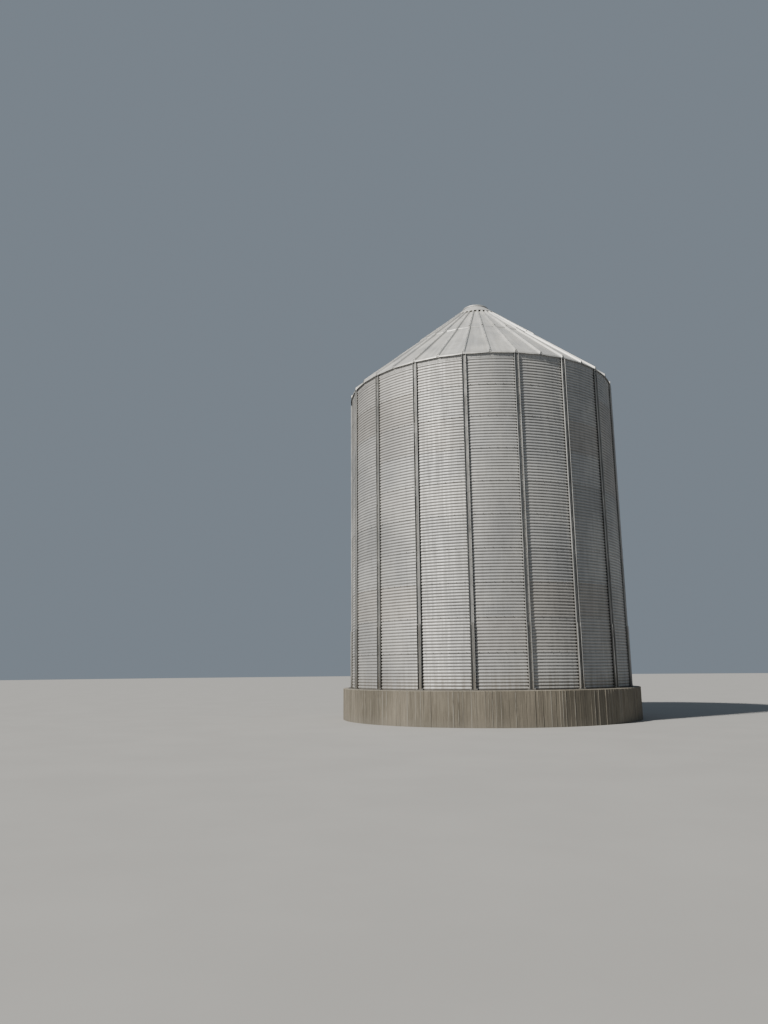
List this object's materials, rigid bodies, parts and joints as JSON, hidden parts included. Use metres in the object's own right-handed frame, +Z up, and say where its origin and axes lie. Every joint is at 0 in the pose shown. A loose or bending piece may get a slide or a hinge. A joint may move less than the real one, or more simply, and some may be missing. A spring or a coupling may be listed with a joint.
{
  "type": "grain silo",
  "caption": "Round flat-bottomed grain silo: corrugated galvanised wall with outside stiffeners on a concrete base, under a ribbed conical roof with a peak cap.",
  "frame": {"origin": "on the silo's axis, at the foot of the concrete base", "axes": "+Z up along the silo's axis; a stiffener and a roof rib stand on the -Y side"},
  "size_m": [8.8, 8.8, 13.2895],
  "materials": {
    "corrugated_sheet": "weathered galvanised steel, dull and streaked",
    "galvanised_section": "weathered galvanised steel, a little brighter than the sheets",
    "roof_sheet": "weathered galvanised steel, dusty",
    "concrete": "board-marked concrete, brown-grey and stained"
  },
  "bodies": {
    "root": {"concrete_base": "concrete", "base_ring": "galvanised_section", "wall_segment_01": "corrugated_sheet", "wall_segment_02": "corrugated_sheet", "wall_segment_03": "corrugated_sheet", "wall_segment_04": "corrugated_sheet", "wall_segment_05": "corrugated_sheet", "wall_segment_06": "corrugated_sheet", "wall_segment_07": "corrugated_sheet", "wall_segment_08": "corrugated_sheet", "wall_segment_09": "corrugated_sheet", "wall_segment_10": "corrugated_sheet", "wall_segment_11": "corrugated_sheet", "wall_segment_12": "corrugated_sheet", "stiffener_01": "galvanised_section", "stiffener_02": "galvanised_section", "stiffener_03": "galvanised_section", "stiffener_04": "galvanised_section", "stiffener_05": "galvanised_section", "stiffener_06": "galvanised_section", "stiffener_07": "galvanised_section", "stiffener_08": "galvanised_section", "stiffener_09": "galvanised_section", "stiffener_10": "galvanised_section", "stiffener_11": "galvanised_section", "stiffener_12": "galvanised_section", "stiffener_13": "galvanised_section", "stiffener_14": "galvanised_section", "stiffener_15": "galvanised_section", "stiffener_16": "galvanised_section", "stiffener_17": "galvanised_section", "stiffener_18": "galvanised_section", "eave_quarter_1": "corrugated_sheet", "eave_quarter_2": "corrugated_sheet", "eave_quarter_3": "corrugated_sheet", "eave_quarter_4": "corrugated_sheet", "roof_quarter_1": "roof_sheet", "roof_quarter_2": "roof_sheet", "roof_quarter_3": "roof_sheet", "roof_quarter_4": "roof_sheet", "collar_quarter_1": "roof_sheet", "collar_quarter_2": "roof_sheet", "collar_quarter_3": "roof_sheet", "collar_quarter_4": "roof_sheet", "peak_cap": "roof_sheet", "cap_rim": "roof_sheet"}
  },
  "joints": []
}
